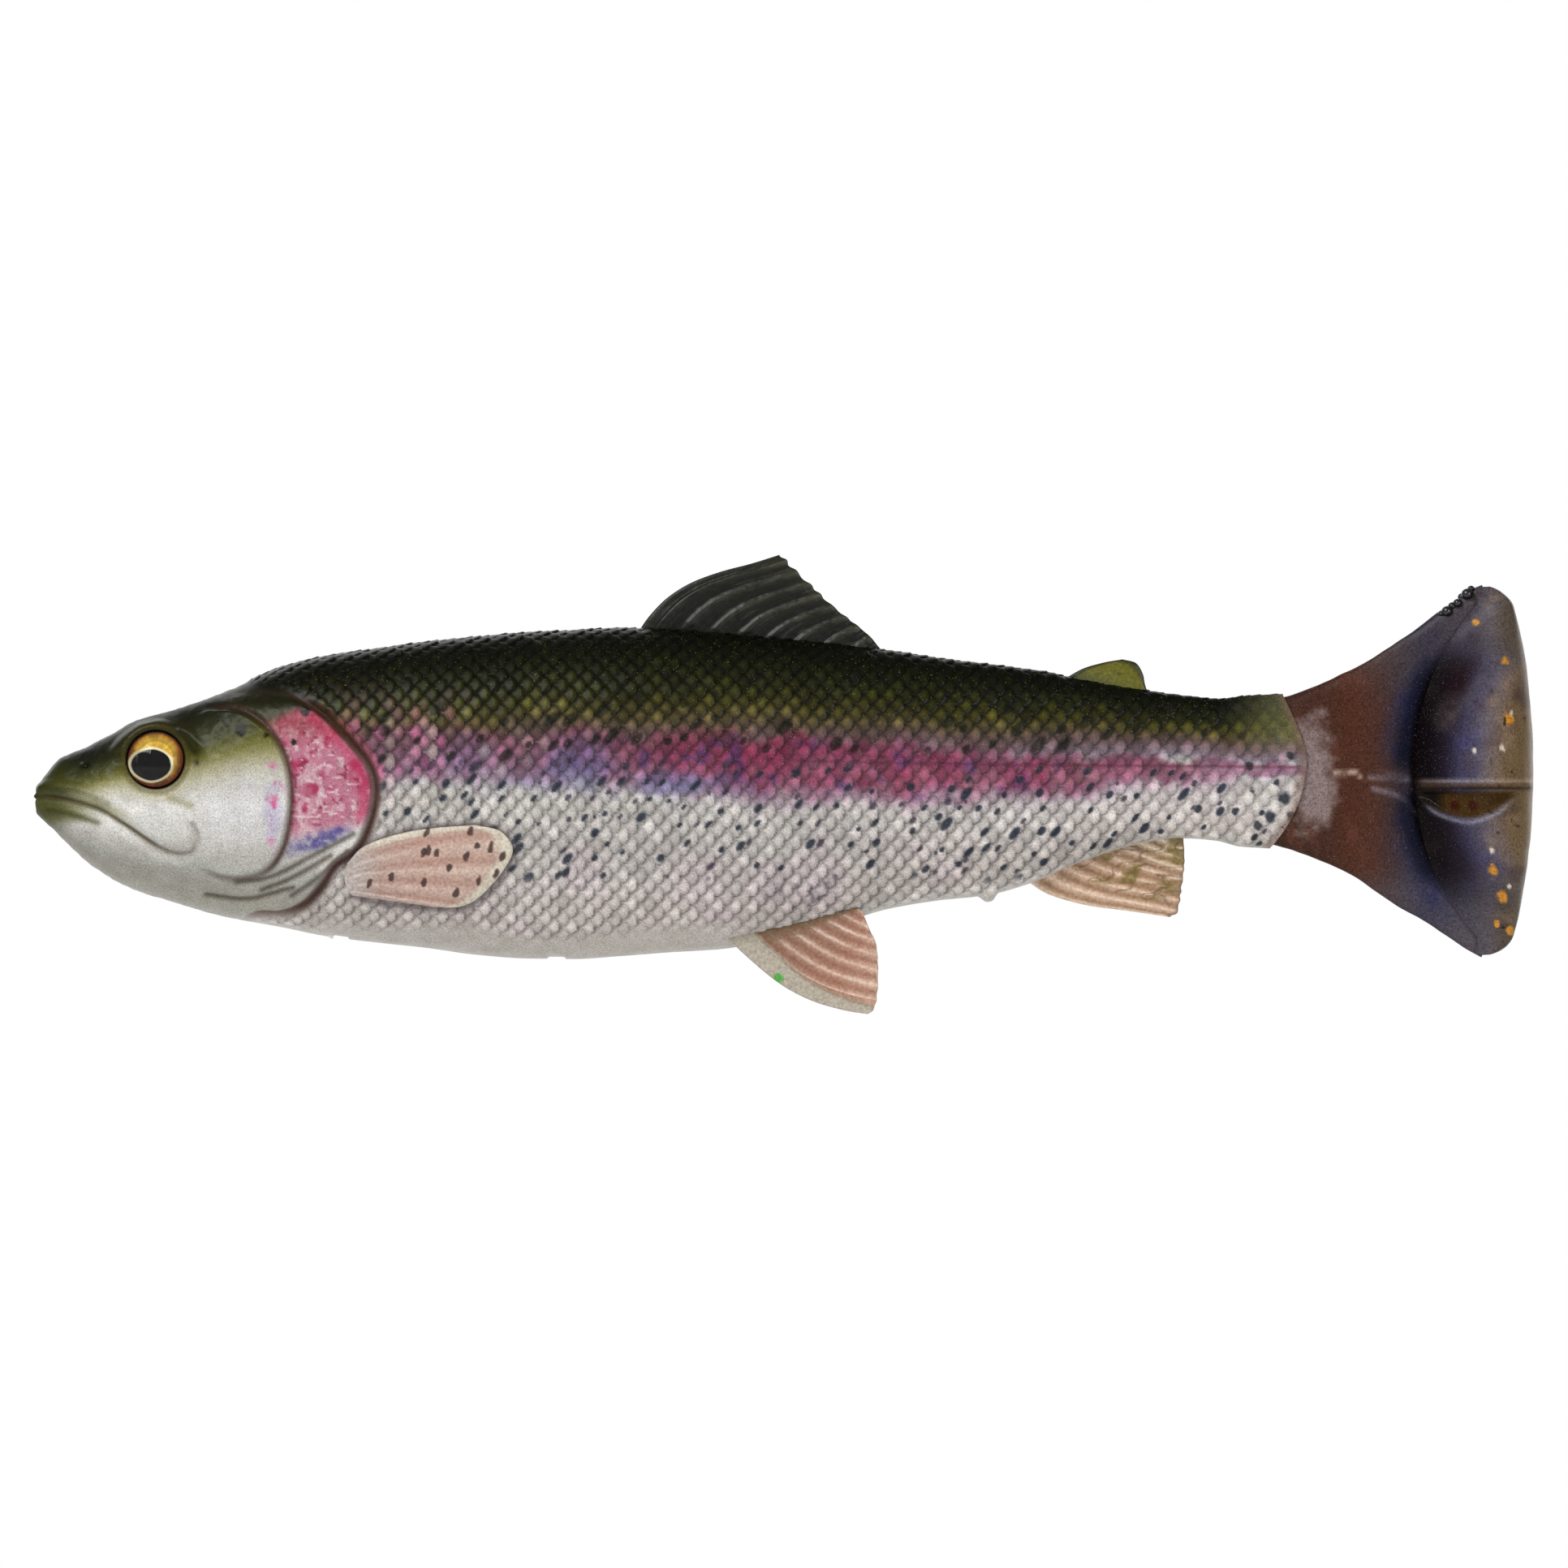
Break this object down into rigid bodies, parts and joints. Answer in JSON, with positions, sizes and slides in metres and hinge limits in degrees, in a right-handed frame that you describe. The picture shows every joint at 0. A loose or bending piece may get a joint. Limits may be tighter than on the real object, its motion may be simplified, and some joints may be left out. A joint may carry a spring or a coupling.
{
  "type": "soft swimbait",
  "caption": "Soft trout-shaped swimbait with scaled flanks, flexible fins, domed eyes, a line tube from mouth to belly and a hollow oval pulse tail, open at the front around its web.",
  "frame": {"origin": "centre of the line tube's opening in the mouth, 1.4 mm behind the tip of the snout", "axes": "+X towards the tail, +Z towards the back, -Y the fish's left flank"},
  "size_m": [0.1998, 0.0276, 0.0613],
  "materials": {
    "skin_front": "satin",
    "skin_rear": "satin",
    "tail_amber": "gloss",
    "paddle_amber": "gloss",
    "fin_dark": "satin",
    "fin_olive": "satin",
    "fin_tan": "satin",
    "fin_pink": "satin",
    "pectoral_pink": "satin",
    "eye_foil": "gloss",
    "eye_dome": "gloss",
    "tube_white": "gloss",
    "cast_weight": "matte",
    "magnet_plate": "polished",
    "mesh_cloth": "matte"
  },
  "bodies": {
    "front": {"body_front": "skin_front", "pectoral_fin_left": "pectoral_pink", "pectoral_fin_right": "pectoral_pink", "eye_left_foil": "eye_foil", "eye_left_dome": "eye_dome", "eye_right_foil": "eye_foil", "eye_right_dome": "eye_dome", "line_tube": "tube_white", "keel_weight": "cast_weight", "hook_magnet": "magnet_plate", "mesh_front": "mesh_cloth"},
    "rear": {"body_rear": "skin_rear", "mesh_rear": "mesh_cloth"},
    "tail": {"tail_web": "tail_amber", "tail_paddle": "paddle_amber", "mesh_tail": "mesh_cloth"},
    "dorsal": {"dorsal_fin": "fin_dark"},
    "adipose": {"adipose_fin": "fin_olive"},
    "anal": {"anal_fin": "fin_tan"},
    "pelvic_left": {"pelvic_fin_left": "fin_pink"},
    "pelvic_right": {"pelvic_fin_right": "fin_pink"}
  },
  "joints": [
    {"name": "trunk_flex", "type": "hinge", "parent": "front", "child": "rear", "pos_m": [0.122, 0, 0], "axis": [0, 0, 1], "range_deg": [-25, 25], "stiffness_Nm_per_rad": 0.03},
    {"name": "tail_flex", "type": "hinge", "parent": "rear", "child": "tail", "pos_m": [0.1725, 0, 0], "axis": [0, 0, 1], "range_deg": [-45, 45], "stiffness_Nm_per_rad": 0.004},
    {"name": "dorsal_fold", "type": "hinge", "parent": "front", "child": "dorsal", "pos_m": [0.0791, 0, 0.0228], "axis": [0.9956, 0, -0.0941], "range_deg": [-35, 35], "stiffness_Nm_per_rad": 0.002},
    {"name": "adipose_fold", "type": "hinge", "parent": "rear", "child": "adipose", "pos_m": [0.1362, 0, 0.0165], "axis": [0.981, 0, -0.1942], "range_deg": [-35, 35], "stiffness_Nm_per_rad": 0.001},
    {"name": "anal_fold", "type": "hinge", "parent": "rear", "child": "anal", "pos_m": [0.1313, 0, -0.0113], "axis": [0.9489, 0, 0.3156], "range_deg": [-35, 35], "stiffness_Nm_per_rad": 0.002},
    {"name": "pelvic_left_fold", "type": "hinge", "parent": "front", "child": "pelvic_left", "pos_m": [0.09, -0.0038, -0.0182], "axis": [0.9836, 0, 0.1805], "range_deg": [-30, 8], "stiffness_Nm_per_rad": 0.002},
    {"name": "pelvic_right_fold", "type": "hinge", "parent": "front", "child": "pelvic_right", "pos_m": [0.09, 0.0038, -0.0182], "axis": [0.9836, 0, 0.1805], "range_deg": [-8, 30], "stiffness_Nm_per_rad": 0.002}
  ]
}
